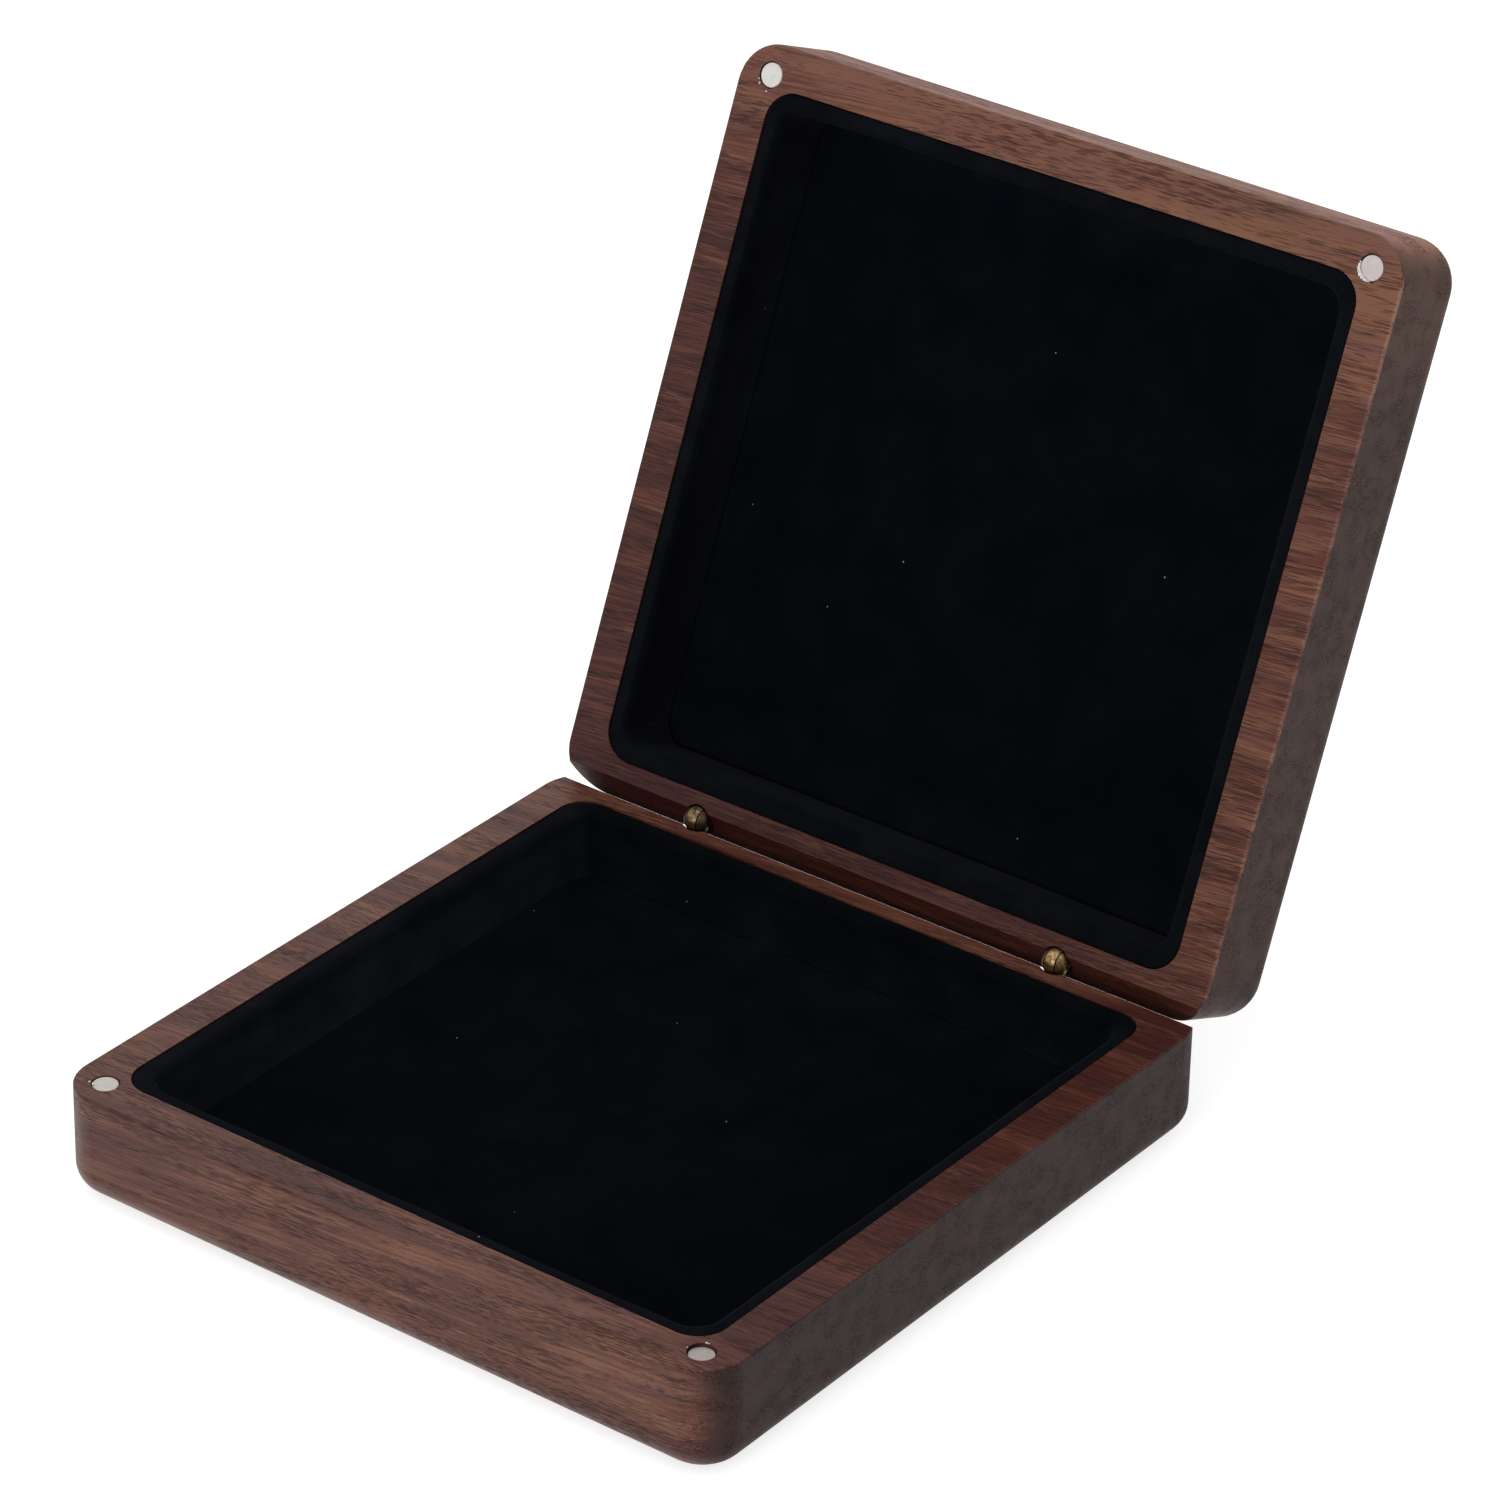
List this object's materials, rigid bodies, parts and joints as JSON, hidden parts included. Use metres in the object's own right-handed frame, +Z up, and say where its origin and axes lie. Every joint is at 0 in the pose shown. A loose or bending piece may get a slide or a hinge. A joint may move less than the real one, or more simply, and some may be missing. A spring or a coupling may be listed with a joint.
{
  "type": "bracelet box",
  "caption": "Square hinged walnut box for a bracelet, standing open, with velvet-lined halves, small brass barrel hinges at the back and disc magnets that hold it shut.",
  "frame": {"origin": "centre of the flat underside of the base", "axes": "+X to the right seen from the front, along the hinge line; +Y from the front edge to the hinge side; +Z up"},
  "size_m": [0.12, 0.1777, 0.1274],
  "materials": {
    "walnut": "oiled satin",
    "velvet": "short pile velvet",
    "card": "matt",
    "nickel": "satin",
    "brass": "aged"
  },
  "bodies": {
    "base": {"base_shell": "walnut", "base_left_magnet": "nickel", "base_right_magnet": "nickel", "base_wall_lining": "velvet", "base_floor_board": "card", "base_floor_pad": "velvet", "left_hinge_fork": "brass", "right_hinge_fork": "brass", "left_hinge_pin": "brass", "right_hinge_pin": "brass"},
    "lid": {"lid_shell": "walnut", "lid_left_magnet": "nickel", "lid_right_magnet": "nickel", "lid_wall_lining": "velvet", "lid_floor_board": "card", "lid_floor_pad": "velvet", "left_hinge_tongue": "brass", "right_hinge_tongue": "brass"}
  },
  "joints": [
    {"name": "lid_hinge", "type": "hinge", "parent": "base", "child": "lid", "pos_m": [0, 0.0577, 0.0185], "axis": [1, 0, 0], "range_deg": [0, 112.5]}
  ]
}
